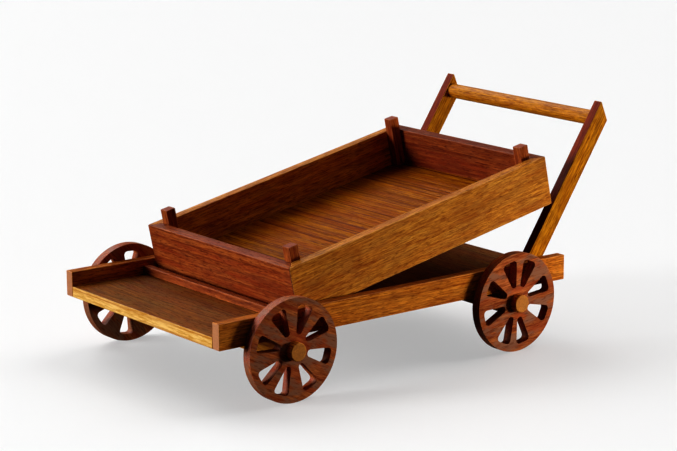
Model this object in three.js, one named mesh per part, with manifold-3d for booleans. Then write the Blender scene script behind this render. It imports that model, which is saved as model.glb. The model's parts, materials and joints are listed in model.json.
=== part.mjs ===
// A small hardwood wagon: a railed deck on two wheelsets, a leaning handle frame at the rear,
// and a loose tray with corner posts that rests against the handle and tips forward on its toe.
// Millimetres. +X points to the handle (rear), -X to the open platform (front), +Z is up.
// -Y is the left side of someone who pushes the wagon, +Y the right side.
import * as THREE from 'three';
import { mergeVertices } from 'three/addons/utils/BufferGeometryUtils.js';
import Module from 'manifold-3d';

const wasm = await Module();
wasm.setup();

// ---- driving dimensions -------------------------------------------------------------------
const STOCK = 12;                 // thickness of the planed boards
const FIT = 0.3;                  // gap left at every glued or resting face
const CHASSIS = { length: 470, width: 290, railHeight: 28, railBottom: 66 };
const DECK = { length: 466, thick: STOCK };
const BATTEN = { front: 91.5, size: 9 };
const UPRIGHT = { lean: 33.9, depth: 20.2, tipX: 535.5, tipZ: 258.3 };
const GRIP = { radius: 8.5, belowTip: 17.6, seat: 6 };
const WHEEL = { radius: 55.2, inner: 146.9, thick: 11.2, frontX: 83.1, rearX: 387.8 };
const PETAL = { count: 8, inner: 17.5, outer: 47.5, rootWidth: 5.5, tipWidth: 19, corner: 2.5 };
const FRONT_PHASES = [-4, -18.5];  // turn of each hand-cut wheel on its axle: left, right
const REAR_PHASES = [5, -3];
const HUB = { radius: 9.9, inner: 145.4, outer: 166.5, boreEnd: 163.4 };
const AXLE = { radius: 5, halfLength: 163, running: 0.4 };
const BOLSTER = { width: 30, bottom: 44.5 };
const TRAY = { length: 361, width: 262, height: 56, pitch: 11.6 };
const FLOOR = { thick: 10, top: 14 };
const POST = { size: 12, top: 72 };
const SCREW = { head: 3.75, shank: 1.75, headDepth: 2.4, sunk: 0.5, point: 3, pointRadius: 0.6, lip: 0.01 };
const BOLSTER_SCREW = { offsetX: 9.5, length: 35 };
const UPRIGHT_SCREW = { height: 86, length: 20.5 };

const ROUND = 32;                 // sides of a dowel, hub or bore
const RIM = 64;                   // sides of a wheel's rim
const SCREW_SIDES = 16;
const CORNER_SIDES = 4;           // facets in a rounded corner of a wheel opening
const PAST = 1;                   // how far a cutting tool runs past the face it cuts

// ---- sizes worked out from them -----------------------------------------------------------
const DEG = Math.PI / 180;
const outerY = CHASSIS.width / 2;
const innerY = outerY - STOCK;
const railTop = CHASSIS.railBottom + CHASSIS.railHeight;
const deckTop = CHASSIS.railBottom + DECK.thick;
const leanTan = Math.tan(UPRIGHT.lean * DEG);
const leanCos = Math.cos(UPRIGHT.lean * DEG);
const leanSin = Math.sin(UPRIGHT.lean * DEG);
const uprightRun = UPRIGHT.depth / leanCos;         // an upright's width along X
const uprightFront = (z) => UPRIGHT.tipX - (UPRIGHT.tipZ - z) * leanTan;
const uprightHeel = {                               // lower corner of the mitred top end
  x: UPRIGHT.tipX + UPRIGHT.depth * leanCos - UPRIGHT.depth * leanTan * leanSin,
  z: UPRIGHT.tipZ - UPRIGHT.depth * leanSin - UPRIGHT.depth * leanTan * leanCos,
};
const grip = {
  x: UPRIGHT.tipX - GRIP.belowTip * leanSin + (UPRIGHT.depth / 2) * leanCos,
  z: UPRIGHT.tipZ - GRIP.belowTip * leanCos - (UPRIGHT.depth / 2) * leanSin,
};
const pitch = TRAY.pitch * DEG;
const toeZ = deckTop + FIT;
const tailZ = toeZ + TRAY.length * Math.sin(pitch);
const toeX = uprightFront(tailZ) - FIT / leanCos - TRAY.length * Math.cos(pitch);
const overall = uprightHeel.x;

// ---- materials ----------------------------------------------------------------------------
const wood = (color, roughness) => new THREE.MeshStandardMaterial({ color, roughness, metalness: 0 });
const amber = wood(0x9c5a22, 0.42);
const umber = wood(0x6e4424, 0.45);
const russet = wood(0x7d3a20, 0.45);
const honey = wood(0xb9702c, 0.45);
const steel = new THREE.MeshStandardMaterial({ color: 0x8a8a88, roughness: 0.35, metalness: 1 });

// ---- shape helpers ------------------------------------------------------------------------
function block(x0, x1, y0, y1, z0, z1) {
  const g = new THREE.BoxGeometry(x1 - x0, y1 - y0, z1 - z0);
  return g.translate((x0 + x1) / 2, (y0 + y1) / 2, (z0 + z1) / 2);
}

function outline(points) {
  return new THREE.Shape(points.map(([a, b]) => new THREE.Vector2(a, b)));
}

// A side profile in X and Z, extruded across the wagon from y0 to y1.
function sidePrism(shape, y0, y1) {
  const settings = { depth: y1 - y0, bevelEnabled: false, curveSegments: CORNER_SIDES };
  const g = new THREE.ExtrudeGeometry(shape, settings);
  return g.rotateX(Math.PI / 2).translate(0, y1, 0);
}

// A plan shape in X and Y, extruded upwards from z0 to z1.
function planPrism(shape, z0, z1) {
  const g = new THREE.ExtrudeGeometry(shape, { depth: z1 - z0, bevelEnabled: false });
  return g.translate(0, 0, z0);
}

// A round bar along Y, with a flat side turned down.
function crossBar(radius, y0, y1, x, z, sides = ROUND) {
  const g = new THREE.CylinderGeometry(radius, radius, y1 - y0, sides);
  return g.rotateY(Math.PI / sides).translate(x, (y0 + y1) / 2, z);
}

function toSolid(geometry) {
  const bare = geometry.clone();
  bare.deleteAttribute('normal');
  bare.deleteAttribute('uv');
  const g = mergeVertices(bare, 1e-4);
  return new wasm.Manifold(new wasm.Mesh({
    numProp: 3,
    vertProperties: new Float32Array(g.attributes.position.array),
    triVerts: new Uint32Array(g.index.array),
  }));
}

function cut(geometry, tools) {
  const left = tools.reduce((solid, tool) => solid.subtract(toSolid(tool)), toSolid(geometry));
  const mesh = left.getMesh();
  const g = new THREE.BufferGeometry();
  g.setAttribute('position', new THREE.BufferAttribute(new Float32Array(mesh.vertProperties), 3));
  g.setIndex(Array.from(mesh.triVerts));
  g.computeVertexNormals();
  return g;
}

function add(group, name, geometry, material) {
  const mesh = new THREE.Mesh(geometry, material);
  mesh.name = name;
  group.add(mesh);
  return mesh;
}

// ---- screws -------------------------------------------------------------------------------
// A countersunk screw pointing along +Y from its head; grow makes the hole that takes it.
function screwShape(length, grow = 0) {
  const shank = SCREW.shank + grow;
  const head = SCREW.head + grow;
  const start = grow > 0 ? -SCREW.sunk - PAST : 0;
  const profile = [[0, start], [head, start], [head, SCREW.lip], [shank, SCREW.headDepth],
    [shank, length - SCREW.point], [grow > 0 ? shank : SCREW.pointRadius, length + grow], [0, length + grow]];
  return new THREE.LatheGeometry(profile.map(([r, h]) => new THREE.Vector2(r, h)), SCREW_SIDES);
}

const upScrew = (x, y, z, length, grow) =>
  screwShape(length, grow).rotateX(Math.PI / 2).translate(x, y, z + SCREW.sunk);

function bolsterScrews(axleX) {
  const spots = [];
  for (const side of [-1, 1]) {
    for (const end of [-1, 1]) {
      spots.push([axleX + end * BOLSTER_SCREW.offsetX, side * (outerY - STOCK / 2)]);
    }
  }
  return spots;
}

// Side -1 is left and 1 is right: the screw runs outwards through an upright into its rail.
function uprightScrew(side, grow) {
  const x = uprightFront(UPRIGHT_SCREW.height) + uprightRun / 2;
  const g = screwShape(UPRIGHT_SCREW.length, grow);
  if (side < 0) g.rotateX(Math.PI);
  const head = innerY - FIT - STOCK + SCREW.sunk;
  return g.translate(x, side * head, UPRIGHT_SCREW.height);
}

// ---- chassis ------------------------------------------------------------------------------
function uprightProfile() {
  const foot = CHASSIS.railBottom;
  return outline([[uprightFront(foot), foot], [uprightFront(foot) + uprightRun, foot],
    [uprightHeel.x, uprightHeel.z], [UPRIGHT.tipX, UPRIGHT.tipZ]]);
}

function notchProfile() {
  const low = CHASSIS.railBottom - PAST;
  const high = deckTop + PAST;
  const slack = FIT / leanCos;
  return outline([[uprightFront(low) - slack, low], [uprightFront(low) + uprightRun + slack, low],
    [uprightFront(high) + uprightRun + slack, high], [uprightFront(high) - slack, high]]);
}

function makeDeck() {
  const half = innerY - FIT;
  const board = block(0, DECK.length, -half, half, CHASSIS.railBottom, deckTop);
  const notch = STOCK + FIT;
  return cut(board, [sidePrism(notchProfile(), half - notch, half + PAST),
    sidePrism(notchProfile(), -half - PAST, notch - half)]);
}

function makeRail(side) {
  const [y0, y1] = side < 0 ? [-outerY, -innerY] : [innerY, outerY];
  const board = block(0, CHASSIS.length, y0, y1, CHASSIS.railBottom, railTop);
  const holes = [WHEEL.frontX, WHEEL.rearX].flatMap(bolsterScrews)
    .filter(([, y]) => y * side > 0)
    .map(([x, y]) => upScrew(x, y, BOLSTER.bottom, BOLSTER_SCREW.length, FIT));
  return cut(board, [...holes, uprightScrew(side, FIT)]);
}

function makeBolster(axleX) {
  const half = BOLSTER.width / 2;
  const beam = block(axleX - half, axleX + half, -outerY, outerY, BOLSTER.bottom, CHASSIS.railBottom - FIT);
  const bore = crossBar(AXLE.radius + AXLE.running, -outerY - PAST, outerY + PAST, axleX, WHEEL.radius);
  const holes = bolsterScrews(axleX)
    .map(([x, y]) => upScrew(x, y, BOLSTER.bottom, BOLSTER_SCREW.length, FIT));
  return cut(beam, [bore, ...holes]);
}

function makeUpright(side) {
  const outer = innerY - FIT;
  const inner = outer - STOCK;
  const [y0, y1] = side < 0 ? [-outer, -inner] : [inner, outer];
  const floor = inner + GRIP.seat + FIT;
  const seat = side < 0 ? [-floor, PAST - inner] : [inner - PAST, floor];
  const socket = crossBar(GRIP.radius + FIT, ...seat, grip.x, grip.z);
  return cut(sidePrism(uprightProfile(), y0, y1), [socket, uprightScrew(side, FIT)]);
}

function makeChassis() {
  const chassis = new THREE.Group();
  add(chassis, 'deck_board', makeDeck(), umber);
  const battenHalf = innerY - FIT;
  const battenTop = toeZ + BATTEN.size;
  const batten = block(BATTEN.front, BATTEN.front + BATTEN.size, -battenHalf, battenHalf, toeZ, battenTop);
  add(chassis, 'toe_batten', batten, russet);
  for (const [side, name] of [[-1, 'left'], [1, 'right']]) {
    add(chassis, `${name}_rail`, makeRail(side), amber);
    add(chassis, `${name}_upright`, makeUpright(side), amber);
    add(chassis, `${name}_upright_screw`, uprightScrew(side, 0), steel);
  }
  const gripEnd = innerY - FIT - STOCK + GRIP.seat;
  add(chassis, 'grip_dowel', crossBar(GRIP.radius, -gripEnd, gripEnd, grip.x, grip.z), amber);
  for (const [name, axleX] of [['front', WHEEL.frontX], ['rear', WHEEL.rearX]]) {
    add(chassis, `${name}_bolster`, makeBolster(axleX), honey);
    bolsterScrews(axleX).forEach(([x, y], i) => {
      const screw = upScrew(x, y, BOLSTER.bottom, BOLSTER_SCREW.length, 0);
      add(chassis, `${name}_bolster_screw_${i + 1}`, screw, steel);
    });
  }
  return chassis;
}

// ---- wheelsets ----------------------------------------------------------------------------
// One sawn opening between two spokes: a wedge with rounded corners, widest at the rim.
function petalPath(angle) {
  const c = PETAL.corner;
  const taper = (PETAL.tipWidth - PETAL.rootWidth) / 2 / (PETAL.outer - PETAL.inner);
  const half = (r) => PETAL.rootWidth / 2 + taper * (r - PETAL.inner);
  const place = (along, across) => [along * Math.sin(angle) + across * Math.cos(angle),
    along * Math.cos(angle) - across * Math.sin(angle)];
  const path = new THREE.Path();
  path.moveTo(...place(PETAL.inner, 0));
  path.quadraticCurveTo(...place(PETAL.inner, -half(PETAL.inner)),
    ...place(PETAL.inner + c, -half(PETAL.inner + c)));
  path.lineTo(...place(PETAL.outer - c, -half(PETAL.outer - c)));
  path.quadraticCurveTo(...place(PETAL.outer, -half(PETAL.outer)),
    ...place(PETAL.outer, c - half(PETAL.outer)));
  path.lineTo(...place(PETAL.outer, half(PETAL.outer) - c));
  path.quadraticCurveTo(...place(PETAL.outer, half(PETAL.outer)),
    ...place(PETAL.outer - c, half(PETAL.outer - c)));
  path.lineTo(...place(PETAL.inner + c, half(PETAL.inner + c)));
  path.quadraticCurveTo(...place(PETAL.inner, half(PETAL.inner)), ...place(PETAL.inner, 0));
  return path;
}

function ring(radius, sides) {
  const points = [];
  for (let i = 0; i < sides; i += 1) {
    const a = ((i + 0.5) / sides) * 2 * Math.PI;
    points.push([radius * Math.cos(a), radius * Math.sin(a)]);
  }
  return points;
}

// The rim is a polygon whose flats, not its corners, are at the wheel's radius.
function makeWheel(side, phase) {
  const disc = outline(ring(WHEEL.radius / Math.cos(Math.PI / RIM), RIM));
  disc.holes.push(outline(ring(HUB.radius + FIT, ROUND)));
  for (let i = 0; i < PETAL.count; i += 1) {
    disc.holes.push(petalPath(((i + 0.5) / PETAL.count) * 2 * Math.PI + phase * DEG));
  }
  const outer = WHEEL.inner + WHEEL.thick;
  return side < 0 ? sidePrism(disc, -outer, -WHEEL.inner) : sidePrism(disc, WHEEL.inner, outer);
}

// A turned plug: it fills the wheel's eye, takes the axle's end and rubs on the bolster.
function makeHub(side) {
  const plug = crossBar(HUB.radius, HUB.inner, HUB.outer, 0, 0);
  const bored = cut(plug, [crossBar(AXLE.radius + FIT, HUB.inner - PAST, HUB.boreEnd, 0, 0)]);
  return side < 0 ? bored.rotateZ(Math.PI) : bored;
}

function makeWheelset(end, axleX, phases) {
  const wheelset = new THREE.Group();
  wheelset.position.set(axleX, 0, WHEEL.radius);
  const axle = crossBar(AXLE.radius, -AXLE.halfLength, AXLE.halfLength, 0, 0);
  add(wheelset, `${end}_axle`, axle, honey);
  [[-1, 'left'], [1, 'right']].forEach(([side, name], i) => {
    add(wheelset, `${end}_${name}_wheel`, makeWheel(side, phases[i]), umber);
    add(wheelset, `${end}_${name}_hub`, makeHub(side), honey);
  });
  return wheelset;
}

// ---- tray ---------------------------------------------------------------------------------
// Mitred boards: each plan is a trapezium, and every mitre keeps a hairline gap.
function endBoard(front) {
  const half = TRAY.width / 2 - FIT / Math.SQRT2;
  const short = half - STOCK;
  const [face, back] = front ? [0, STOCK] : [TRAY.length, TRAY.length - STOCK];
  return outline([[face, -half], [face, half], [back, short], [back, -short]]);
}

function sideBoard(side) {
  const gap = FIT / Math.SQRT2;
  const face = side * (TRAY.width / 2);
  const back = face - side * STOCK;
  return outline([[gap, face], [TRAY.length - gap, face],
    [TRAY.length - STOCK - gap, back], [STOCK + gap, back]]);
}

function makeTray() {
  const tray = new THREE.Group();
  tray.position.set(toeX, 0, toeZ);
  tray.rotation.y = -pitch;
  add(tray, 'tray_front_board', planPrism(endBoard(true), 0, TRAY.height), russet);
  add(tray, 'tray_rear_board', planPrism(endBoard(false), 0, TRAY.height), russet);
  add(tray, 'tray_left_board', planPrism(sideBoard(-1), 0, TRAY.height), amber);
  add(tray, 'tray_right_board', planPrism(sideBoard(1), 0, TRAY.height), amber);
  const edge = STOCK + FIT;
  const side = TRAY.width / 2 - edge;
  const floor = block(edge, TRAY.length - edge, -side, side, FLOOR.top - FLOOR.thick, FLOOR.top);
  add(tray, 'tray_floor', floor, umber);
  for (const [end, x] of [['front', edge], ['rear', TRAY.length - edge - POST.size]]) {
    for (const [name, y] of [['left', -side], ['right', side - POST.size]]) {
      const post = block(x, x + POST.size, y, y + POST.size, FLOOR.top + FIT, POST.top);
      add(tray, `${end}_${name}_post`, post, russet);
    }
  }
  return tray;
}

// ---- the wagon, its origin under the middle of its length ----------------------------------
const wagon = new THREE.Group();
wagon.position.x = -overall / 2;
wagon.add(makeChassis());
wagon.add(makeWheelset('front', WHEEL.frontX, FRONT_PHASES));
wagon.add(makeWheelset('rear', WHEEL.rearX, REAR_PHASES));
wagon.add(makeTray());

export default wagon;
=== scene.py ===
"""A small oiled hardwood toy wagon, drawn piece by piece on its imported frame.

Lengths are metres. +X points to the handle, -Y is the left side of someone who pushes the wagon.
"""

import json
import math

import bmesh
import bpy
from mathutils import Matrix, Vector


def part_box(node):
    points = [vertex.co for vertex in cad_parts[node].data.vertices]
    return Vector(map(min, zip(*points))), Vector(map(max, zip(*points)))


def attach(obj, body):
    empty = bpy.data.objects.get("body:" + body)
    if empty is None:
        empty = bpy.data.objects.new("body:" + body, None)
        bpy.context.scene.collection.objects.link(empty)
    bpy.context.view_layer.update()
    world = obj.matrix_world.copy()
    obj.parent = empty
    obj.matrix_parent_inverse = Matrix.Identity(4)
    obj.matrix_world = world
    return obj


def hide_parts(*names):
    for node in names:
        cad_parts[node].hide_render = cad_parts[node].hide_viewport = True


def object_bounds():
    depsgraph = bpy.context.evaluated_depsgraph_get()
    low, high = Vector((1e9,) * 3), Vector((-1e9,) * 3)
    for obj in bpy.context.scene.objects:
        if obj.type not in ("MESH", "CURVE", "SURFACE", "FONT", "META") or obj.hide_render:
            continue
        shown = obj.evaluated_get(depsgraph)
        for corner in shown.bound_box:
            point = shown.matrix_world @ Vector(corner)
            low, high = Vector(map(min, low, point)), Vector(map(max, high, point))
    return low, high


bl_info = {
    "name": "Wooden Toy Wagon",
    "version": (1, 0, 0),
    "blender": (4, 5, 0),
    "location": "View3D > Sidebar > Wagon",
    "description": "Makes the boards, wheels, tray, handle and studio of an oiled wooden toy wagon",
    "category": "Add Mesh",
}

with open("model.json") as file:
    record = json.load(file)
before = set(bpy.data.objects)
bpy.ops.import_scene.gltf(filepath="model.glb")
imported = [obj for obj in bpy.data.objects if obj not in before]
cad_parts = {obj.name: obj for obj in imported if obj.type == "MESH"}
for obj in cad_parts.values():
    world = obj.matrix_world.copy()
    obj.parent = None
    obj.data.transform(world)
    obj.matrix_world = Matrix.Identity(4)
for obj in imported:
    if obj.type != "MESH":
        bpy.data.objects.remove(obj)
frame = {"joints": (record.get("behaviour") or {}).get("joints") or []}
CAD_LOW, CAD_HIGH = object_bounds()

MM = 0.001
WELD = 1e-7
JOINTS = {joint["name"]: joint for joint in frame["joints"]}
SIDES = {"left": -1, "right": 1}
ENDS = ("front", "rear")

# The tray and the handle lean, so their angles are stated here and their places come from the frame.
TRAY_PITCH = math.radians(11.6)
TRAY_LENGTH = 361 * MM
TRAY_WIDTH = 262 * MM
TRAY_HEIGHT = 56 * MM
STOCK = 12 * MM
GAP = 0.3 * MM
FLOOR_TOP = 14 * MM
FLOOR_THICK = 10 * MM
POST_TOP = 72 * MM
HANDLE_LEAN = math.radians(33.9)
UPRIGHT_DEPTH = 20.2 * MM
TOE = Vector(JOINTS["tray_tip"]["pos_m"])
TRAY_FRAME = Matrix.Translation(TOE) @ Matrix.Rotation(-TRAY_PITCH, 4, "Y")

# The wheels: how far each sawn opening stands round from the top, in degrees, seen from the left.
OPENING_TURNS = {
    "front_left": (19.5, 61.3, 107.2, 153, 202, 240.5, 287.8, 334.7),
    "rear_left": (23, 70, 114.8, 168.5, 205.4, 255.6, 299, 345.8),
    "front_right": (4, 49, 95, 141, 188, 237, 281, 324),
    "rear_right": (19, 66, 110, 155, 199, 246, 290, 336),
}
WHEEL_GRAIN = {"front_left": 24, "rear_left": -6, "front_right": 50, "rear_right": 15}
OPENING_INNER = 17.5 * MM
OPENING_OUTER = 47.8 * MM
OPENING_ROOT = 6 * MM
OPENING_TIP = 20 * MM
WHEEL_RADIUS = JOINTS["front_wheels_roll"]["pos_m"][2]
HUB_RADIUS = 9.9 * MM
AXLE_RADIUS = 5 * MM

# Screws: a countersunk head with a straight slot, and the depth of the holes that take them.
SCREW_HEAD = 3.75 * MM
SCREW_SHANK = 1.75 * MM
SCREW_CONE = 2.4 * MM
THREAD_ROOT = 0.68
THREAD_PITCH = 1.3 * MM
UPRIGHT_HOLE = 21 * MM
BOLSTER_HOLE = 35.5 * MM

# The tray floor's grooves: where the board is cut on both sides of each, and how near counts as in it.
GROOVE_CUTS = (-1.2 * MM, -0.4 * MM, 0.4 * MM, 1.2 * MM)
GROOVE_HALF = 0.5 * MM

# The studio: half the floor's width, how far out the backdrop stands, how wide the distant lights
# look in degrees, and the low panel beside the rear wheels.
FLOOR_REACH = 30.0
BACKDROP_REACH = 25.0
HIGH_SOFTNESS = 50
FRONT_SOFTNESS = 20
PANEL_PLACE = Vector((0.85, -0.88, 0.10))
PANEL_SIZE = (0.4, 0.16)
PANEL_SPREAD = math.radians(70)

# Where the studio's camera stands, and how it is turned: azimuth, elevation and roll in degrees.
CAMERA_PLACE = Vector((-1.53571, -1.96706, 0.69874))
CAMERA_TURN = (-37.824, 12.833, -0.313)

# How many times a millimetre each mark of the wood repeats: along, across and through the grain.
SWING_RATE = (0.0045, 0.016, 0.016)
DRIFT_RATE = (0.0110, 0.050, 0.050)
STREAK_RATE = (0.007, 0.110, 0.110)
LINE_RATE = (0.0022, 0.26, 0.26)
FIBRE_RATE = (0.055, 0.55, 0.55)
FLECK_RATE = (0.120, 0.90, 0.90)
CLOUD_RATE = (0.014, 0.040, 0.040)
PATCH_RATE = (0.026, 0.085, 0.085)

# The heart of the log lies this far below a board and swings this far, in millimetres.
HEART_DEPTH = 38.0
HEART_OFF = 14.0
HEART_SWING = 46.0
HEART_DRIFT = 14.0
RINGS_PER_MM = 0.30

# What each mark does to the red, green and blue of the wood.
PALE = (1.55, 1.85, 1.85)
DARK = (0.42, 0.26, 0.30)
RUDDY = (0.86, 0.46, 0.55)
CLOUDED = (0.55, 0.42, 0.50)
GREYED = (0.72, 1.15, 2.2)
LINED = (0.36, 0.20, 0.24)
PORED = (0.24, 0.13, 0.14)
# Painted shade in the tray floor's grooves.
GROOVE_SHADE = (0.24, 0.05, 0.10)
DRIED = (0.95, 1.45, 6.0)
# A pale arris shows wear and a painted highlight; a dark arris is painted shade.
RUBBED_AND_HIGHLIT = (1.55, 2.1, 3.6)
ARRIS_SHADE = (0.42, 0.16, 0.20)

# Painted light for the deck's front face and painted shade for the uprights' front faces: shades for their
# streaks, fibres and lines.
PAINTED_FRONT_LIGHT = ((2.5, 3.6, 3.6), (3.7, 7.2, 17.0), (1.9, 1.9, 1.6))
PAINTED_FRONT_SHADE = ((0.26, 0.06, 0.15), (0.50, 0.20, 0.30), (0.20, 0.05, 0.10))

ALONG_X = (0, 0, 0)
ALONG_Y = (0, 0, math.pi / 2)
ALONG_TRAY = (0, -TRAY_PITCH, 0)
ACROSS_TRAY = (-TRAY_PITCH, 0, math.pi / 2)
ALONG_POST = (0, -TRAY_PITCH - math.pi / 2, 0)
ALONG_UPRIGHT = (0, HANDLE_LEAN - math.pi / 2, 0)


# ---- settings a user would change ----------------------------------------------------------

def colour(label, note, default):
    return bpy.props.FloatVectorProperty(
        name=label, description=note, default=default, subtype="COLOR", size=3, min=0, max=1)


def length(label, note, millimetres):
    return bpy.props.FloatProperty(
        name=label, description=note, default=millimetres * MM, min=0, unit="LENGTH")


def share(label, note, default, most=1.0):
    return bpy.props.FloatProperty(
        name=label, description=note, default=default, min=0, max=most, subtype="FACTOR")


class WagonShaping(bpy.types.PropertyGroup):
    """How the edges are eased."""
    board_ease: length("Board ease", "Rounding of every board's arrises", 0.9)
    wheel_ease: length("Wheel ease", "Rounding round the rim and the openings of a wheel", 0.9)
    hub_ease: length("Hub ease", "Rounding of a hub's outer end", 1.1)
    corner: length("Opening corner", "Radius of the corners at the wide end of a wheel's opening", 4.2)
    reed_pitch: length("Reed pitch", "Distance between the fine grooves across the tray's floor", 4.4)
    reed_depth: length("Reed depth", "Depth of the fine grooves across the tray's floor", 0.4)


class WagonFinish(bpy.types.PropertyGroup):
    """Colours of the oiled woods and the steel."""
    rail: colour("Rails", "Side rails", (0.56, 0.175, 0.023))
    handle: colour("Handle", "Uprights and grip", (0.49, 0.167, 0.010))
    tray_side: colour("Tray sides", "Long boards of the tray", (0.55, 0.203, 0.030))
    tray_end: colour("Tray front", "Front board of the tray, and the batten", (0.325, 0.078, 0.018))
    # The rear board is the front board's wood painted darker: painted shade.
    tray_rear: colour("Tray rear", "Rear board of the tray", (0.225, 0.049, 0.012))
    deck: colour("Deck", "Deck board", (0.26, 0.086, 0.012))
    floor: colour("Tray floor", "Floor of the tray", (0.365, 0.112, 0.002))
    post: colour("Posts", "Corner posts of the tray", (0.34, 0.085, 0.020))
    wheel: colour("Wheels", "Sawn wheels", (0.44, 0.128, 0.038))
    hub: colour("Hubs", "Turned hubs and axles", (0.60, 0.180, 0.013))
    bolster: colour("Bolsters", "Bolsters under the deck", (0.42, 0.144, 0.013))
    steel: colour("Screws", "Steel of the screws", (0.42, 0.40, 0.37))
    roughness: share("Roughness", "Roughness of the oiled wood", 0.42)
    coat: share("Oil film", "Weight of the oil film over the wood", 0.05)


class WagonStudio(bpy.types.PropertyGroup):
    """Camera and light."""
    lens: bpy.props.FloatProperty(
        name="Lens", description="Focal length of the camera", default=122.71, min=1, unit="CAMERA")
    floor: colour("Floor", "Colour of the studio floor", (0.50, 0.50, 0.50))
    floor_glow: share("Floor glow", "Light that the lit table under the wagon gives off", 0.317)
    backdrop: share("Backdrop glow", "Brightness of the wall far behind the wagon", 0.645)
    sky: share("Sky", "Strength of the even light all round", 0.02, 4)
    back: share("Back light", "Strength of the high soft light over the right side", 1.37, 10)
    rear: share("Rear light", "Strength of the high soft light over the handle", 1.10, 10)
    side: share("Side light", "Power of the low light beside the rear wheels", 1.4, 100)
    front: share("Front light", "Strength of the low light in front", 2.2, 10)


def shaping():
    return bpy.context.scene.wagon_shaping


def finish():
    return bpy.context.scene.wagon_finish


# ---- shader maths --------------------------------------------------------------------------

class Value:
    """A shader socket that can be added, subtracted, multiplied and raised to a power."""

    def __init__(self, shader, socket):
        self.shader = shader
        self.socket = socket

    def _math(self, operation, *values):
        return self.shader.node("ShaderNodeMath", {"operation": operation}, values)[0]

    def __add__(self, other):
        return self._math("ADD", self, other)

    __radd__ = __add__

    def __mul__(self, other):
        return self._math("MULTIPLY", self, other)

    __rmul__ = __mul__

    def __sub__(self, other):
        return self._math("SUBTRACT", self, other)

    def __rsub__(self, other):
        return self._math("SUBTRACT", other, self)

    def __pow__(self, other):
        return self._math("POWER", self, other)

    def __abs__(self):
        return self._math("ABSOLUTE", self)

    def fade(self, low, high):
        """0 up to low, 1 from high on, and smooth between them."""
        settings = {"interpolation_type": "SMOOTHSTEP"}
        return self.shader.node("ShaderNodeMapRange", settings, {0: self, 1: low, 2: high})[0]


class Shader:
    """A material whose nodes are made one by one."""

    def __init__(self, name):
        self.material = bpy.data.materials.new(name)
        self.material.use_nodes = True
        self.tree = self.material.node_tree
        self.surface = self.tree.nodes["Principled BSDF"]

    def node(self, kind, settings=None, inputs=()):
        made = self.tree.nodes.new(kind)
        for name, value in (settings or {}).items():
            setattr(made, name, value)
        pairs = inputs.items() if isinstance(inputs, dict) else enumerate(inputs)
        for name, value in pairs:
            self.feed(made.inputs[name], value)
        return [Value(self, socket) for socket in made.outputs]

    def feed(self, socket, value):
        if isinstance(value, Value):
            self.tree.links.new(value.socket, socket)
        else:
            socket.default_value = value

    def finish(self, **inputs):
        for name, value in inputs.items():
            self.feed(self.surface.inputs[name.replace("_", " ")], value)
        return self.material

    def mix(self, amount, first, second, blend="MIX"):
        settings = {"data_type": "RGBA", "blend_type": blend, "clamp_factor": True}
        return self.node("ShaderNodeMix", settings, {0: amount, 6: first, 7: second})[2]

    def stretch(self, vector, scale):
        """The vector with each part multiplied by its own number."""
        return self.node("ShaderNodeVectorMath", {"operation": "MULTIPLY"}, (vector, scale))[0]

    def along(self, vector, direction):
        """How far the vector points in a direction."""
        return self.node("ShaderNodeVectorMath", {"operation": "DOT_PRODUCT"}, (vector, direction))[1]

    def painted(self, name):
        """A number that the mesh carries, such as how rounded the surface is there or how much painted
        shade a groove gets.
        """
        return self.node("ShaderNodeAttribute", {"attribute_name": name})[2]

    def bump(self, strength, distance, height):
        inputs = {"Strength": strength, "Distance": distance, "Height": height}
        return self.node("ShaderNodeBump", {}, inputs)[0]

    def noise(self, vector, scale, detail=2.0, roughness=0.5):
        inputs = {"Vector": vector, "Scale": scale, "Detail": detail, "Roughness": roughness}
        return self.node("ShaderNodeTexNoise", {}, inputs)[0]

    def parts(self, vector):
        return self.node("ShaderNodeSeparateXYZ", {}, (vector,))

    def join(self, x, y, z):
        return self.node("ShaderNodeCombineXYZ", {}, (x, y, z))[0]


def shade(tone, red=1.0, green=1.0, blue=1.0):
    """A colour with its three parts multiplied, ready for a socket."""
    return (tone[0] * red, tone[1] * green, tone[2] * blue, 1.0)


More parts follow.
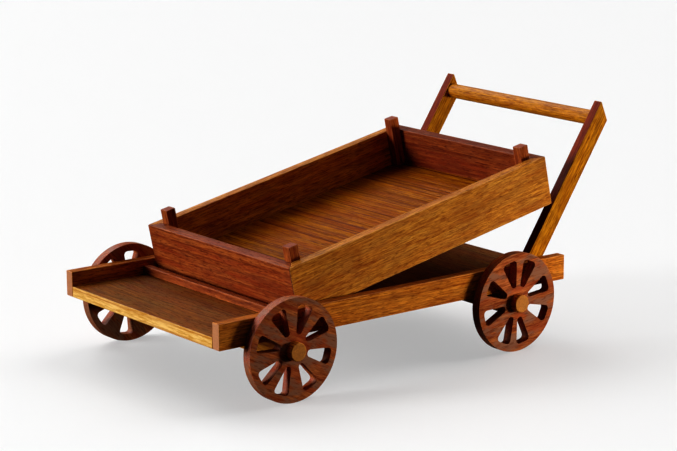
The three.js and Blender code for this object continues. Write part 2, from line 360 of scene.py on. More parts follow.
def timber(name, tone, centre, lie, seed, figure=1.0, bloom=0.35, pores=1.0, lines=0.5, wander=1.0,
           grey=0.15, front=None, dark_arris=False, dry=0.8, gloss=1.0):
    """Oiled hardwood with its grain along one line of the piece.

    centre and lie place the board in its log, in millimetres along, across and through the grain.
    figure is how strong the rings show, wander how far they swing, bloom how much red streaks the
    wood, pores how much its open pores show, lines how dark its long straight lines are and grey
    how much patches of it have greyed. front holds the shades laid on the face that looks to the
    front of the wagon: painted light on the deck, painted shade on the uprights. An arris is
    painted pale, with wear and a painted highlight, or with dark_arris painted dark, as painted
    shade. dry is how much the end grain has dried and greyed, and gloss how much the surface shines.
    """
    s = Shader(name)
    _, normal, _, place, *_ = s.node("ShaderNodeTexCoord")
    lying = s.node(
        "ShaderNodeMapping", {"vector_type": "TEXTURE"},
        {"Vector": place, "Location": centre, "Rotation": lie, "Scale": (MM, MM, MM)})[0]
    shift = (seed * 137.0, seed * 61.0, 0)
    log = s.node("ShaderNodeVectorMath", {"operation": "ADD"}, (lying, shift))[0]

    # Rings about a heart that lies below the board and wanders along it.
    swing = s.noise(s.stretch(log, SWING_RATE), 1.0, 2.0)
    drift = s.noise(s.stretch(log, DRIFT_RATE), 1.0, 1.0)
    x, y, z = s.parts(lying)
    off = HEART_OFF * math.sin(seed * 2.3)
    across = y + off + (swing - 0.5) * (HEART_SWING * wander)
    through = z + HEART_DEPTH + (drift - 0.5) * (HEART_DRIFT * wander)
    radius = (across * across + through * through) ** 0.5
    band = s.noise(s.join(radius * RINGS_PER_MM, x * 0.0012, seed * 3.7), 1.0, 3.0, 0.65)
    ring = band.fade(0.32, 0.68)

    # Long soft streaks, straight dark lines, short fibres, open pores, clouds and grey patches.
    streak = s.noise(s.stretch(log, STREAK_RATE), 1.0, 3.0, 0.6).fade(0.38, 0.66)
    line = s.noise(s.stretch(log, LINE_RATE), 1.0, 3.0, 0.6).fade(0.52, 0.68)
    fibre = s.noise(s.stretch(log, FIBRE_RATE), 1.0, 3.0, 0.75)
    pore = s.noise(s.stretch(log, FLECK_RATE), 1.0, 1.0, 0.5).fade(0.56, 0.68) * pores
    cloud = s.noise(s.stretch(log, CLOUD_RATE), 1.0, 3.0, 0.6).fade(0.46, 0.68)
    patch = s.noise(s.stretch(log, PATCH_RATE), 1.0, 3.0, 0.65).fade(0.46, 0.60)

    figured = 0.5 + (ring - 0.5) * (0.55 * figure) + (fibre - 0.5) * 2.4
    wood = s.mix(figured, shade(tone, *DARK), shade(tone, *PALE))
    wood = s.mix(streak * bloom, wood, shade(tone, *RUDDY))
    wood = s.mix(cloud * 0.45, wood, shade(tone, *CLOUDED))
    wood = s.mix(patch * grey, wood, shade(tone, *GREYED))
    wood = s.mix(line * lines, wood, shade(tone, *LINED))
    wood = s.mix(pore * 0.50, wood, shade(tone, *PORED))

    # Painted shade darkens a groove. End grain is drier and greyer. Arrises are pale with wear and a
    # painted highlight, and on some pieces dark with painted shade.
    wood = s.mix(s.painted("groove_shade") * 0.95, wood, shade(tone, *GROOVE_SHADE))
    grain = Matrix.Rotation(lie[1], 3, "Y") @ Matrix.Rotation(lie[2], 3, "Z") @ Vector((1, 0, 0))
    end = abs(s.along(normal, grain)).fade(0.75, 0.95)
    wood = s.mix(end * dry, wood, shade(tone, *DRIED))
    # The face that looks to the front gets painted light on the deck and painted shade on the uprights.
    if front:
        streaks, fibres, lining = (shade(tone, *part) for part in front)
        other = s.mix(line * 0.8, s.mix(fibre.fade(0.34, 0.62), streaks, fibres), lining)
        wood = s.mix(s.along(normal, (-1, 0, 0)).fade(0.5, 0.8), wood, other)
    # A pale arris is wear with a painted highlight; a dark arris is painted shade.
    arris_wear_and_light = s.painted("arris") * fibre.fade(0.30, 0.62)
    wood = s.mix(arris_wear_and_light * 0.45, wood, shade(tone, *(ARRIS_SHADE if dark_arris else RUBBED_AND_HIGHLIT)))

    relief = fibre * 0.35 + ring * 0.25 - pore * 0.8 - line * (0.4 * lines)
    sheen = finish().roughness + (fibre - 0.5) * 0.16 + pore * 0.18 + end * 0.12
    s.surface.inputs["Coat Weight"].default_value = finish().coat * gloss
    s.surface.inputs["Coat Roughness"].default_value = 0.24
    s.surface.inputs["Specular IOR Level"].default_value = 0.12 * gloss
    return s.finish(Base_Color=wood, Roughness=sheen, Normal=s.bump(0.35, 0.25 * MM, relief))


def screw_steel(name):
    """Turned steel, dulled and a little stained."""
    s = Shader(name)
    place = s.node("ShaderNodeTexCoord")[3]
    grime = s.noise(place, 900.0, 3.0, 0.6).fade(0.45, 0.70)
    metal = s.mix(grime * 0.5, shade(finish().steel), (0.16, 0.12, 0.09, 1.0))
    return s.finish(
        Base_Color=metal, Metallic=1.0, Roughness=0.34 + grime * 0.25,
        Normal=s.bump(0.2, 0.05 * MM, grime))


# ---- shapes --------------------------------------------------------------------------------

def board(low, high):
    """A squared board as a bmesh, between two corners."""
    low, high = Vector(low), Vector(high)
    bm = bmesh.new()
    bmesh.ops.create_cube(bm, size=1)
    bmesh.ops.scale(bm, vec=high - low, verts=bm.verts)
    bmesh.ops.translate(bm, vec=(low + high) / 2, verts=bm.verts)
    return bm


def prism(outline, y0, y1):
    """A side outline of (x, z) points, made solid from y0 to y1."""
    bm = bmesh.new()
    face = bm.faces.new([bm.verts.new((x, y0, z)) for x, z in outline])
    pushed = bmesh.ops.extrude_face_region(bm, geom=[face])["geom"]
    moved = [part for part in pushed if isinstance(part, bmesh.types.BMVert)]
    bmesh.ops.translate(bm, vec=(0, y1 - y0, 0), verts=moved)
    bmesh.ops.recalc_face_normals(bm, faces=bm.faces)
    return bm


def turned(profile, steps=48):
    """A profile of (radius, along) points, spun about Y. It starts and ends on the axis."""
    bm = bmesh.new()
    verts = [bm.verts.new((radius, along, 0)) for radius, along in profile]
    edges = [bm.edges.new(pair) for pair in zip(verts, verts[1:])]
    bmesh.ops.spin(
        bm, geom=verts + edges, cent=(0, 0, 0), axis=(0, 1, 0), dvec=(0, 0, 0),
        angle=2 * math.pi, steps=steps, use_merge=True, use_duplicate=False)
    bmesh.ops.remove_doubles(bm, verts=bm.verts, dist=WELD)
    bmesh.ops.recalc_face_normals(bm, faces=bm.faces)
    return bm


def ease(bm, radius, sharp=25, segments=3):
    """Rounds every arris sharper than an angle, and marks the rounded faces."""
    mark = bm.loops.layers.float.get("arris") or bm.loops.layers.float.new("arris")
    edges = [e for e in bm.edges if e.is_manifold and e.calc_face_angle(0) > math.radians(sharp)]
    made = bmesh.ops.bevel(
        bm, geom=edges, offset=radius, offset_type="OFFSET", segments=segments, profile=0.5,
        affect="EDGES", clamp_overlap=True, material=-1, loop_slide=True)
    for face in made["faces"]:
        for loop in face.loops:
            loop[mark] = 1.0


def piece(name, bm, material, body, slot, *nodes):
    """The bmesh as a finished object that rides on a body and stands for its CAD nodes."""
    mesh = bpy.data.meshes.new(name)
    bm.to_mesh(mesh)
    bm.free()
    mesh.shade_smooth()
    mesh.materials.append(material)
    made = bpy.data.objects.new(name, mesh)
    bpy.context.scene.collection.objects.link(made)
    crisp = made.modifiers.new("crisp faces", "WEIGHTED_NORMAL")
    crisp.weight = 80
    crisp.keep_sharp = True
    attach(made, body)
    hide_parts(*nodes)
    return made


def scratch(bm, name):
    mesh = bpy.data.meshes.new(name)
    bm.to_mesh(mesh)
    bm.free()
    made = bpy.data.objects.new(name, mesh)
    bpy.context.scene.collection.objects.link(made)
    return made


def carve(bm, cutters):
    """The bmesh with every cutter taken out of it."""
    block = scratch(bm, "block")
    tools = [scratch(cutter, "cutter") for cutter in cutters]
    for tool in tools:
        cut = block.modifiers.new("cut", "BOOLEAN")
        cut.operation = "DIFFERENCE"
        cut.solver = "EXACT"
        cut.object = tool
    depsgraph = bpy.context.evaluated_depsgraph_get()
    left = bmesh.new()
    left.from_mesh(bpy.data.meshes.new_from_object(block.evaluated_get(depsgraph)))
    for spent in [block, *tools]:
        bpy.data.objects.remove(spent)
    bmesh.ops.remove_doubles(left, verts=left.verts, dist=WELD)
    bmesh.ops.dissolve_limit(left, angle_limit=math.radians(0.5), verts=left.verts, edges=left.edges)
    return left


def rod(radius, y0, y1, x, z, steps=40):
    """A plain round bar along Y, used to bore holes."""
    bm = turned([(0, y0), (radius, y0), (radius, y1), (0, y1)], steps)
    bmesh.ops.translate(bm, vec=(x, 0, z), verts=bm.verts)
    return bm


def settle(bm, place):
    bmesh.ops.transform(bm, matrix=place, verts=bm.verts)
    return bm


def middle(node):
    low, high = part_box(node)
    return (low + high) / 2


# ---- screws --------------------------------------------------------------------------------

def screw_place(node, side):
    """Where a screw's head stands, with +Y along the shank. Side 0 points up."""
    low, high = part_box(node)
    centre = (low + high) / 2
    if side:
        head = low.y if side > 0 else high.y
        turn = Matrix.Identity(4) if side > 0 else Matrix.Rotation(math.pi, 4, "Z")
        return Matrix.Translation((centre.x, head, centre.z)) @ turn
    return Matrix.Translation((centre.x, centre.y, low.z)) @ Matrix.Rotation(math.pi / 2, 4, "X")


def screw_body(reach):
    """A countersunk wood screw with a slot across its head and threads cut as rings."""
    profile = [(0, 0), (SCREW_HEAD, 0), (SCREW_HEAD, 0.1 * MM), (SCREW_SHANK, SCREW_CONE)]
    along = reach * 0.4
    profile.append((SCREW_SHANK, along))
    while along < reach - 4 * MM:
        profile.append((SCREW_SHANK * THREAD_ROOT, along + 0.5 * MM))
        profile.append((SCREW_SHANK, along + 1.1 * MM))
        along += THREAD_PITCH
    profile += [(SCREW_SHANK * 0.6, along + 0.5 * MM), (0, reach)]
    slot = board((-SCREW_HEAD * 1.2, -1 * MM, -0.45 * MM), (SCREW_HEAD * 1.2, 0.8 * MM, 0.45 * MM))
    return carve(turned(profile, 24), [slot])


def screw_hole(node, side, reach):
    """The countersunk hole that takes a screw."""
    profile = [(0, -3 * MM), (SCREW_HEAD + GAP, -3 * MM), (SCREW_HEAD + GAP, 0.1 * MM)]
    profile += [(SCREW_SHANK + GAP, SCREW_CONE), (SCREW_SHANK + GAP, reach), (0, reach)]
    return settle(turned(profile, 24), screw_place(node, side))


def bolster_screws(end):
    return [f"{end}_bolster_screw_{number}" for number in range(1, 5)]


# ---- operators: one for each piece or group of like pieces -----------------------------------

class WAGON_OT_deck(bpy.types.Operator):
    """Make the deck board, notched for the uprights, and the batten that stops the tray"""
    bl_idname = "wagon.deck"
    bl_label = "Deck and batten"

    def execute(self, context):
        low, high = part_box("deck_board")
        notches = []
        for name, side in SIDES.items():
            outline = upright_outline(*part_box(f"{name}_upright"), GAP, 2 * MM)
            edge = low.y if side < 0 else high.y
            ends = sorted((edge - side * (STOCK + GAP), edge + side * MM))
            notches.append(prism(outline, *ends))
        shape = carve(board(low, high), notches)
        ease(shape, shaping().board_ease * 0.8)
        # The deck's front face is painted paler: painted light where the low front lamp falls.
        material = timber("deck oil", finish().deck, middle("deck_board"), ALONG_Y, 1.0,
                          figure=1.3, bloom=0.45, wander=0.8, grey=0.5, front=PAINTED_FRONT_LIGHT)
        piece("deck", shape, material, "chassis", "deck_wood", "deck_board")

        shape = board(*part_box("toe_batten"))
        ease(shape, shaping().board_ease)
        material = timber("batten oil", finish().tray_end, middle("toe_batten"), ALONG_Y, 2.0, bloom=0.3)
        piece("batten", shape, material, "chassis", "tray_end_wood", "toe_batten")
        return {"FINISHED"}


class WAGON_OT_rails(bpy.types.Operator):
    """Make the two side rails, with holes for their screws"""
    bl_idname = "wagon.rails"
    bl_label = "Rails"

    def execute(self, context):
        for name, side in SIDES.items():
            node = f"{name}_rail"
            shape = board(*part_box(node))
            ease(shape, shaping().board_ease)
            holes = [screw_hole(f"{name}_upright_screw", side, UPRIGHT_HOLE)]
            for end in ENDS:
                spots = [screw for screw in bolster_screws(end) if middle(screw).y * side > 0]
                holes += [screw_hole(screw, 0, BOLSTER_HOLE) for screw in spots]
            material = timber(f"{name} rail oil", finish().rail, middle(node), ALONG_X, 3.0 + side * 0.4,
                              bloom=0.18, wander=0.3, lines=0.3)
            piece(f"{name}_side_rail", carve(shape, holes), material, "chassis", "frame_wood", node)
        return {"FINISHED"}


def upright_outline(low, high, slack=0.0, past=0.0):
    """An upright's side outline: a leaning board with a mitred top.

    With slack it is the outline of the notch in the deck that takes the upright, that much wider
    all round and run out past the board at both ends.
    """
    slope = math.tan(HANDLE_LEAN)
    run = UPRIGHT_DEPTH / math.cos(HANDLE_LEAN)
    if not slack:
        tip = (low.x + (high.z - low.z) * slope, high.z)
        drop = UPRIGHT_DEPTH * (math.sin(HANDLE_LEAN) + slope * math.cos(HANDLE_LEAN))
        return [(low.x, low.z), (low.x + run, low.z), (high.x, high.z - drop), tip]
    wide = slack / math.cos(HANDLE_LEAN)
    front = low.x - past * slope
    lean = low.x + (STOCK + past) * slope
    foot = low.z - past
    top = low.z + STOCK + past
    return [(front - wide, foot), (front + run + wide, foot), (lean + run + wide, top), (lean - wide, top)]


class WAGON_OT_handle(bpy.types.Operator):
    """Make the two leaning uprights and the round grip between them"""
    bl_idname = "wagon.handle"
    bl_label = "Handle frame"

    def execute(self, context):
        grip_low, grip_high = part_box("grip_dowel")
        centre = (grip_low + grip_high) / 2
        radius = (grip_high.z - grip_low.z) / 2
        for name, side in SIDES.items():
            node = f"{name}_upright"
            low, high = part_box(node)
            shape = prism(upright_outline(low, high), low.y, high.y)
            ease(shape, shaping().board_ease)
            inner = high.y if side < 0 else low.y
            end = grip_low.y if side < 0 else grip_high.y
            ends = sorted((inner - side * MM, end + side * GAP))
            socket = rod(radius + GAP / 2, *ends, centre.x, centre.z)
            hole = screw_hole(f"{name}_upright_screw", side, UPRIGHT_HOLE)
            # The uprights' front faces are painted dark: painted shade.
            material = timber(f"{name} upright oil", finish().handle, middle(node), ALONG_UPRIGHT,
                              5.0 + side * 0.3, figure=0.6, bloom=0.08, wander=0.4, lines=0.15,
                              front=PAINTED_FRONT_SHADE)
            piece(f"{name}_handle_upright", carve(shape, [socket, hole]), material, "chassis",
                  "frame_wood", node)

        reach = grip_high.y - centre.y
        soft = 0.8 * MM
        profile = [(0, -reach), (radius - soft, -reach), (radius, soft - reach),
                   (radius, reach - soft), (radius - soft, reach), (0, reach)]
        shape = turned(profile, 64)
        bmesh.ops.translate(shape, vec=(centre.x, centre.y, centre.z), verts=shape.verts)
        material = timber("grip oil", finish().handle, centre, ALONG_Y, 6.0, figure=0.5, bloom=0.05,
                          wander=0.3, lines=0.15, grey=0.15)
        piece("grip", shape, material, "chassis", "frame_wood", "grip_dowel")
        return {"FINISHED"}


class WAGON_OT_bolsters(bpy.types.Operator):
    """Make the two bolsters that carry the axles"""
    bl_idname = "wagon.bolsters"
    bl_label = "Bolsters"

    def execute(self, context):
        for number, end in enumerate(ENDS):
            node = f"{end}_bolster"
            low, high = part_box(node)
            axle = Vector(JOINTS[f"{end}_wheels_roll"]["pos_m"])
            shape = board(low, high)
            ease(shape, shaping().board_ease)
            bore = rod(AXLE_RADIUS + 0.4 * MM, low.y - MM, high.y + MM, axle.x, axle.z)
            holes = [screw_hole(screw, 0, BOLSTER_HOLE) for screw in bolster_screws(end)]
            material = timber(f"{end} bolster oil", finish().bolster, middle(node), ALONG_Y, 7.0 + number)
            piece(f"{end}_axle_bolster", carve(shape, [bore, *holes]), material, "chassis",
                  "bolster_wood", node)
        return {"FINISHED"}


class WAGON_OT_screws(bpy.types.Operator):
    """Make the slotted countersunk screws under the bolsters and in the uprights"""
    bl_idname = "wagon.screws"
    bl_label = "Screws"

    def execute(self, context):
        steel = screw_steel("screw steel")
        for name, side in SIDES.items():
            self.drive(f"{name}_upright_screw", side, steel)
        for end in ENDS:
            for node in bolster_screws(end):
                self.drive(node, 0, steel)
        return {"FINISHED"}

    def drive(self, node, side, steel):
        low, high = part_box(node)
        reach = max(high - low)
        shape = settle(screw_body(reach), screw_place(node, side))
        piece(f"slotted_{node}", shape, steel, "chassis", "screw_steel", node)


class WAGON_OT_wheels(bpy.types.Operator):
    """Make the four sawn wheels, each with its own hand-cut openings"""
    bl_idname = "wagon.wheels"
    bl_label = "Wheels"

    def execute(self, context):
        for end in ENDS:
            for name, side in SIDES.items():
                self.saw(end, name, side)
        return {"FINISHED"}

    def saw(self, end, name, side):
        key = f"{end}_{name}"
        low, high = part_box(f"{key}_wheel")
        centre = Vector(JOINTS[f"{end}_wheels_roll"]["pos_m"])
        disc = rod(WHEEL_RADIUS, low.y, high.y, centre.x, centre.z, steps=128)
        cutters = [rod(HUB_RADIUS + GAP / 2, low.y - MM, high.y + MM, centre.x, centre.z)]
        for number, turn in enumerate(OPENING_TURNS[key]):
            uneven = math.sin(number * 2.1 + len(key))
            cutters.append(opening(low.y - MM, high.y + MM, centre, math.radians(turn), uneven))
        shape = carve(disc, cutters)
        ease(shape, shaping().wheel_ease, sharp=40, segments=2)
        grain = (0, math.radians(WHEEL_GRAIN[key]), 0)
        # The front wheels' arrises are painted dark as painted shade; the rear wheels' are pale with wear
        # and a painted highlight.
        material = timber(f"{key.replace('_', ' ')} wheel oil", finish().wheel, centre, grain,
                          9.0 + side + len(end), figure=1.0, bloom=0.6, lines=0.25, grey=0.9,
                          dark_arris=end == "front", dry=0.15)
        piece(f"{key}_sawn_wheel", shape, material, f"{end}_wheelset", "wheel_wood", f"{key}_wheel")


def opening(y0, y1, centre, turn, uneven):
    """A rounded wedge that saws one opening, a little different each time."""
    inner = OPENING_INNER + 0.4 * MM * uneven
    outer = OPENING_OUTER + 0.4 * MM * uneven
    root = OPENING_ROOT * (1 + 0.08 * uneven) / 2
    tip = OPENING_TIP * (1 - 0.05 * uneven) / 2
    swell = outer - math.sqrt(outer * outer - tip * tip)
    outline = [(-root, inner), (root, inner), (tip, outer - swell), (tip * 0.45, outer - swell * 0.2),
               (-tip * 0.45, outer - swell * 0.2), (-tip, outer - swell)]
    bm = prism(outline, y0, y1)
    long_edges = [e for e in bm.edges if abs((e.verts[0].co - e.verts[1].co).y) > (y1 - y0) / 2]
    narrow = [e for e in long_edges if e.verts[0].co.z < (inner + outer) / 2]
    wide = [e for e in long_edges if e not in narrow and abs(e.verts[0].co.x) > tip * 0.9]
    for edges, radius in ((narrow, root * 0.85), (wide, shaping().corner)):
        bmesh.ops.bevel(
            bm, geom=edges, offset=radius, offset_type="OFFSET", segments=5, profile=0.5,
            affect="EDGES", clamp_overlap=True, material=-1)
    bmesh.ops.rotate(bm, cent=(0, 0, 0), matrix=Matrix.Rotation(turn, 3, "Y"), verts=bm.verts)
    bmesh.ops.translate(bm, vec=(centre.x, 0, centre.z), verts=bm.verts)
    return bm


class WAGON_OT_hubs(bpy.types.Operator):
    """Make the turned hubs and the axles that they are glued to"""
    bl_idname = "wagon.hubs"
    bl_label = "Hubs and axles"

    def execute(self, context):
        for end in ENDS:
            centre = Vector(JOINTS[f"{end}_wheels_roll"]["pos_m"])
            low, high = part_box(f"{end}_axle")
            soft = 0.6 * MM
            profile = [(0, low.y), (AXLE_RADIUS - soft, low.y), (AXLE_RADIUS, low.y + soft),
                       (AXLE_RADIUS, high.y - soft), (AXLE_RADIUS - soft, high.y), (0, high.y)]
            shape = turned(profile, 32)
            bmesh.ops.translate(shape, vec=(centre.x, 0, centre.z), verts=shape.verts)
            wood = timber(f"{end} axle oil", finish().hub, centre, ALONG_Y, 14.0 + len(end), bloom=0.1)
            piece(f"{end}_turned_axle", shape, wood, f"{end}_wheelset", "hub_wood", f"{end}_axle")
            for name, side in SIDES.items():
                self.turn_hub(f"{end}_{name}", end, side, centre)
        return {"FINISHED"}

    def turn_hub(self, key, end, side, centre):
        low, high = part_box(f"{key}_hub")
        near, far = (high.y, low.y) if side < 0 else (low.y, high.y)
        soft = shaping().hub_ease
        outer = [(HUB_RADIUS - soft * (1 - math.sin(a)), far - side * soft * (1 - math.cos(a)))
                 for a in (math.radians(step * 18) for step in range(6))]
        bore = AXLE_RADIUS + GAP / 2
        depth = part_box(f"{end}_axle")[0 if side < 0 else 1].y + side * GAP
        profile = [(0, far), *outer, (HUB_RADIUS, near), (bore, near), (bore, depth), (0, depth)]
        shape = turned(profile, 64)
        bmesh.ops.translate(shape, vec=(centre.x, 0, centre.z), verts=shape.verts)
        heart = centre + Vector((0, far, 0))
        wood = timber(f"{key.replace('_', ' ')} hub oil", finish().hub, heart, ALONG_Y,
                      16.0 + len(key) + side, figure=0.7, bloom=0.12, dry=0.6)
        piece(f"{key}_turned_hub", shape, wood, f"{end}_wheelset", "hub_wood", f"{key}_hub")


class WAGON_OT_tray(bpy.types.Operator):
    """Make the mitred boards of the tray"""
    bl_idname = "wagon.tray"
    bl_label = "Tray boards"

    def execute(self, context):
        half = TRAY_WIDTH / 2
        slit = GAP / math.sqrt(2)
        for name, face, inward in (("front", 0, 1), ("rear", TRAY_LENGTH, -1)):
            low = (min(face, face + inward * STOCK), slit - half, 0)
            high = (max(face, face + inward * STOCK), half - slit, TRAY_HEIGHT)
            shape = board(low, high)
            for vert in shape.verts:
                if abs(vert.co.x - face) > STOCK / 2:
                    vert.co.y -= math.copysign(STOCK, vert.co.y)
            # The rear board takes the darker tone: painted shade.
            tone = finish().tray_end if name == "front" else finish().tray_rear
            self.fit(shape, f"tray_{name}_board", "tray_end_wood", tone, ACROSS_TRAY,
                     figure=1.2, bloom=0.6, wander=0.5, lines=0.65)
        for name, side in SIDES.items():
            face = side * half
            low = (slit, min(face, face - side * STOCK), 0)
            high = (TRAY_LENGTH - slit, max(face, face - side * STOCK), TRAY_HEIGHT)
            shape = board(low, high)
            for vert in shape.verts:
                if abs(vert.co.y - face) > STOCK / 2:
                    vert.co.x += STOCK if vert.co.x < TRAY_LENGTH / 2 else -STOCK
            self.fit(shape, f"tray_{name}_board", "tray_side_wood", finish().tray_side, ALONG_TRAY,
                     figure=0.6, bloom=0.25, wander=0.25, lines=0.20)
        return {"FINISHED"}

    def fit(self, shape, node, slot, tone, lie, **grain):
        ease(shape, shaping().board_ease)
        settle(shape, TRAY_FRAME)
        seed = 20.0 + len(node) * 0.7
        wood = timber(f"{node.replace('_', ' ')} oil", tone, middle(node), lie, seed, **grain)
        piece(node.replace("_board", "_mitred_board"), shape, wood, "tray", slot, node)


class WAGON_OT_tray_floor(bpy.types.Operator):
    """Make the tray's floor, with fine grooves across it"""
    bl_idname = "wagon.tray_floor"
    bl_label = "Tray floor"

    def execute(self, context):
        edge = STOCK + GAP
        side = TRAY_WIDTH / 2 - edge
        low = Vector((edge, -side, FLOOR_TOP - FLOOR_THICK))
        high = Vector((TRAY_LENGTH - edge, side, FLOOR_TOP))
        shape = board(low, high)
        ease(shape, 0.4 * MM, segments=2)
        gaps = int((high.x - low.x) / shaping().reed_pitch)
        groove_shade = shape.verts.layers.float.new("groove_shade")
        for number in range(1, gaps):
            uneven = 0.28 * math.sin(number * 4.3)
            # How much painted shade this groove gets, uneven from groove to groove.
            darkness = (0.5 + 0.5 * math.sin(number * 2.7)) * (0.6 + 0.4 * math.sin(number * 0.7))
            x = low.x + (number + uneven) * (high.x - low.x) / gaps
            for cut in GROOVE_CUTS:
                geometry = shape.verts[:] + shape.edges[:] + shape.faces[:]
                bmesh.ops.bisect_plane(shape, geom=geometry, plane_co=(x + cut, 0, 0), plane_no=(1, 0, 0))
            crease = [v for v in shape.verts
                      if abs(v.co.x - x) < GROOVE_HALF and v.co.z > high.z - 10 * WELD]
            bmesh.ops.translate(shape, vec=(0, 0, -shaping().reed_depth), verts=crease)
            for vert in crease:
                vert[groove_shade] = darkness
        settle(shape, TRAY_FRAME)
        wood = timber("tray floor oil", finish().floor, middle("tray_floor"), ACROSS_TRAY, 31.0,
                      figure=0.5, bloom=0.45, pores=0.4, lines=0.8, wander=0.05, grey=0.0, gloss=0.3)
        piece("tray_reeded_floor", shape, wood, "tray", "floor_wood", "tray_floor")
        return {"FINISHED"}


class WAGON_OT_posts(bpy.types.Operator):
    """Make the four square corner posts of the tray"""
    bl_idname = "wagon.posts"
    bl_label = "Corner posts"

    def execute(self, context):
        edge = STOCK + GAP
        inside = TRAY_WIDTH / 2 - edge
        for end, x in (("front", edge), ("rear", TRAY_LENGTH - edge - STOCK)):
            for name, y in (("left", -inside), ("right", inside - STOCK)):
                node = f"{end}_{name}_post"
                shape = board((x, y, FLOOR_TOP + GAP), (x + STOCK, y + STOCK, POST_TOP))
                ease(shape, shaping().board_ease)
                settle(shape, TRAY_FRAME)
                wood = timber(f"{end} {name} post oil", finish().post, middle(node), ALONG_POST,
                              33.0 + len(node) + x * 5, bloom=0.4, dry=0.3)
                piece(f"{end}_{name}_corner_post", shape, wood, "tray", "post_wood", node)
        return {"FINISHED"}


# ---- studio --------------------------------------------------------------------------------

def lamp(name, strength, toward, softness):
    """A soft distant light that shines from a direction."""
    light = bpy.data.lights.new(name, "SUN")
    light.energy = strength
    light.angle = math.radians(softness)
    made = bpy.data.objects.new(name, light)
    made.rotation_mode = "QUATERNION"
    made.rotation_quaternion = Vector(toward).to_track_quat("Z", "Y")
    bpy.context.scene.collection.objects.link(made)


def low_panel(name, power, place, size):
    """A flat lamp that stands low beside the wagon and faces it."""
    light = bpy.data.lights.new(name, "AREA")
    light.shape = "RECTANGLE"
    light.size, light.size_y = size
    light.energy = power
    light.spread = PANEL_SPREAD
    made = bpy.data.objects.new(name, light)
    made.rotation_mode = "QUATERNION"
    made.location = place
    made.rotation_quaternion = (place - Vector((0, 0, place.z))).to_track_quat("Z", "Y")
    made.visible_camera = False
    made.visible_glossy = False
    bpy.context.scene.collection.objects.link(made)
    return made


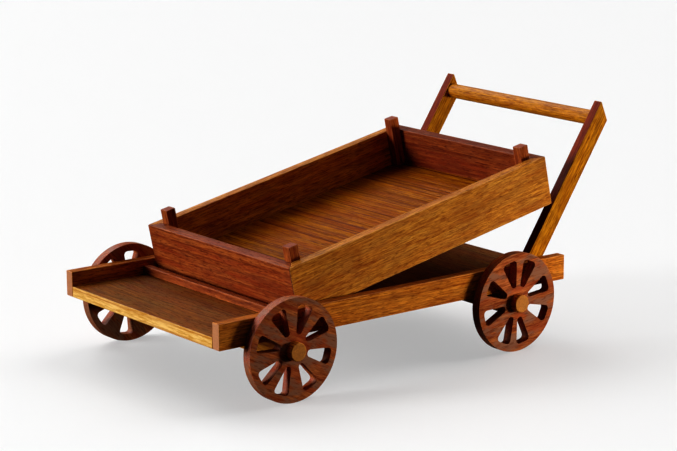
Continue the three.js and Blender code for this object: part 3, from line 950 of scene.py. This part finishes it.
class WAGON_OT_studio(bpy.types.Operator):
    """Make the pale floor, the soft lights and the camera"""
    bl_idname = "wagon.studio"
    bl_label = "Studio"

    def execute(self, context):
        studio = context.scene.wagon_studio
        floor = self.lay_floor(studio)
        self.hang_backdrop(studio)
        self.set_lights(studio, floor)
        self.place_camera(studio)
        return {"FINISHED"}

    def lay_floor(self, studio):
        bm = bmesh.new()
        bmesh.ops.create_grid(bm, x_segments=1, y_segments=1, size=FLOOR_REACH)
        bmesh.ops.translate(bm, vec=(0, 0, CAD_LOW.z - 0.1 * MM), verts=bm.verts)
        mesh = bpy.data.meshes.new("studio floor")
        bm.to_mesh(mesh)
        bm.free()
        s = Shader("studio floor")
        s.surface.inputs["Emission Strength"].default_value = studio.floor_glow
        s.surface.inputs["Specular IOR Level"].default_value = 0.25
        mesh.materials.append(
            s.finish(Base_Color=shade(studio.floor), Roughness=0.55, Emission_Color=(1, 1, 1, 1)))
        made = bpy.data.objects.new("studio_floor", mesh)
        # The floor's own bounce would fill every shadow on the wood, so the wood doesn't see it.
        made.visible_diffuse = False
        made.visible_glossy = False
        bpy.context.scene.collection.objects.link(made)
        return made

    def hang_backdrop(self, studio):
        """A pale glowing wall all round, far out, so that a low camera sees no bare horizon."""
        bm = turned([(0, -BACKDROP_REACH), (BACKDROP_REACH, -BACKDROP_REACH),
                     (BACKDROP_REACH, BACKDROP_REACH), (0, BACKDROP_REACH)], 64)
        bmesh.ops.rotate(bm, cent=(0, 0, 0), matrix=Matrix.Rotation(math.pi / 2, 3, "X"), verts=bm.verts)
        mesh = bpy.data.meshes.new("studio backdrop")
        bm.to_mesh(mesh)
        bm.free()
        s = Shader("studio backdrop")
        s.surface.inputs["Emission Strength"].default_value = studio.backdrop
        s.surface.inputs["Specular IOR Level"].default_value = 0.0
        mesh.materials.append(s.finish(Base_Color=(0, 0, 0, 1), Emission_Color=(1, 1, 1, 1)))
        made = bpy.data.objects.new("studio_backdrop", mesh)
        made.visible_diffuse = False
        made.visible_glossy = False
        made.visible_shadow = False
        bpy.context.scene.collection.objects.link(made)

    def set_lights(self, studio, floor):
        world = bpy.data.worlds.new("studio sky")
        world.use_nodes = True
        sky = world.node_tree.nodes["Background"]
        sky.inputs["Color"].default_value = (1, 1, 1, 1)
        sky.inputs["Strength"].default_value = studio.sky
        bpy.context.scene.world = world
        lamp("back light", studio.back, (0.0, 1.0, 1.0), HIGH_SOFTNESS)
        lamp("rear light", studio.rear, (1.0, 0.0, 1.0), HIGH_SOFTNESS)
        lamp("front light", studio.front, (-1.0, 0.45, 0.20), FRONT_SOFTNESS)
        panel = low_panel("side light", studio.side, PANEL_PLACE, PANEL_SIZE)
        # The panel would draw a bright patch on the floor, so it lights everything but the floor.
        spared = bpy.data.collections.new("not lit by the side light")
        spared.objects.link(floor)
        panel.light_linking.receiver_collection = spared
        spared.collection_objects[0].light_linking.link_state = "EXCLUDE"

    def place_camera(self, studio):
        camera = bpy.data.cameras.new("camera")
        camera.lens = studio.lens
        camera.sensor_width = 36
        camera.clip_end = 100
        made = bpy.data.objects.new("camera", camera)
        azimuth, elevation, roll = (math.radians(part) for part in CAMERA_TURN)
        level = math.cos(elevation)
        back = Vector((math.sin(azimuth) * level, -math.cos(azimuth) * level, math.sin(elevation)))
        right = Vector((math.cos(azimuth), math.sin(azimuth), 0))
        up = back.cross(right)
        tilted_right = math.cos(roll) * right + math.sin(roll) * up
        tilted_up = math.cos(roll) * up - math.sin(roll) * right
        turn = Matrix((tilted_right, tilted_up, back)).transposed()
        made.matrix_world = Matrix.Translation(CAMERA_PLACE) @ turn.to_4x4()
        bpy.context.scene.collection.objects.link(made)
        bpy.context.scene.camera = made
        bpy.context.scene.view_settings.view_transform = "Standard"
        bpy.context.scene.view_settings.look = "High Contrast"


class WAGON_PT_sidebar(bpy.types.Panel):
    """The wagon's pieces, listed in the order they are made"""
    bl_label = "Wooden toy wagon"
    bl_idname = "WAGON_PT_sidebar"
    bl_space_type = "VIEW_3D"
    bl_region_type = "UI"
    bl_category = "Wagon"

    def draw(self, context):
        for operator in OPERATORS:
            self.layout.operator(operator.bl_idname)
        for settings in SETTINGS:
            group = getattr(context.scene, settings)
            box = self.layout.box()
            for name in group.__annotations__:
                box.prop(group, name)


OPERATORS = (
    WAGON_OT_deck, WAGON_OT_rails, WAGON_OT_handle, WAGON_OT_bolsters, WAGON_OT_screws, WAGON_OT_wheels,
    WAGON_OT_hubs, WAGON_OT_tray, WAGON_OT_tray_floor, WAGON_OT_posts, WAGON_OT_studio)
SETTINGS = {"wagon_shaping": WagonShaping, "wagon_finish": WagonFinish, "wagon_studio": WagonStudio}


def register():
    for group in (*SETTINGS.values(), *OPERATORS, WAGON_PT_sidebar):
        bpy.utils.register_class(group)
    for name, group in SETTINGS.items():
        setattr(bpy.types.Scene, name, bpy.props.PointerProperty(type=group))


def unregister():
    for name in SETTINGS:
        delattr(bpy.types.Scene, name)
    for group in (WAGON_PT_sidebar, *reversed(OPERATORS), *SETTINGS.values()):
        bpy.utils.unregister_class(group)


def main():
    register()
    for operator in OPERATORS:
        family, action = operator.bl_idname.split(".")
        getattr(getattr(bpy.ops, family), action)()


if __name__ == "__main__":
    main()
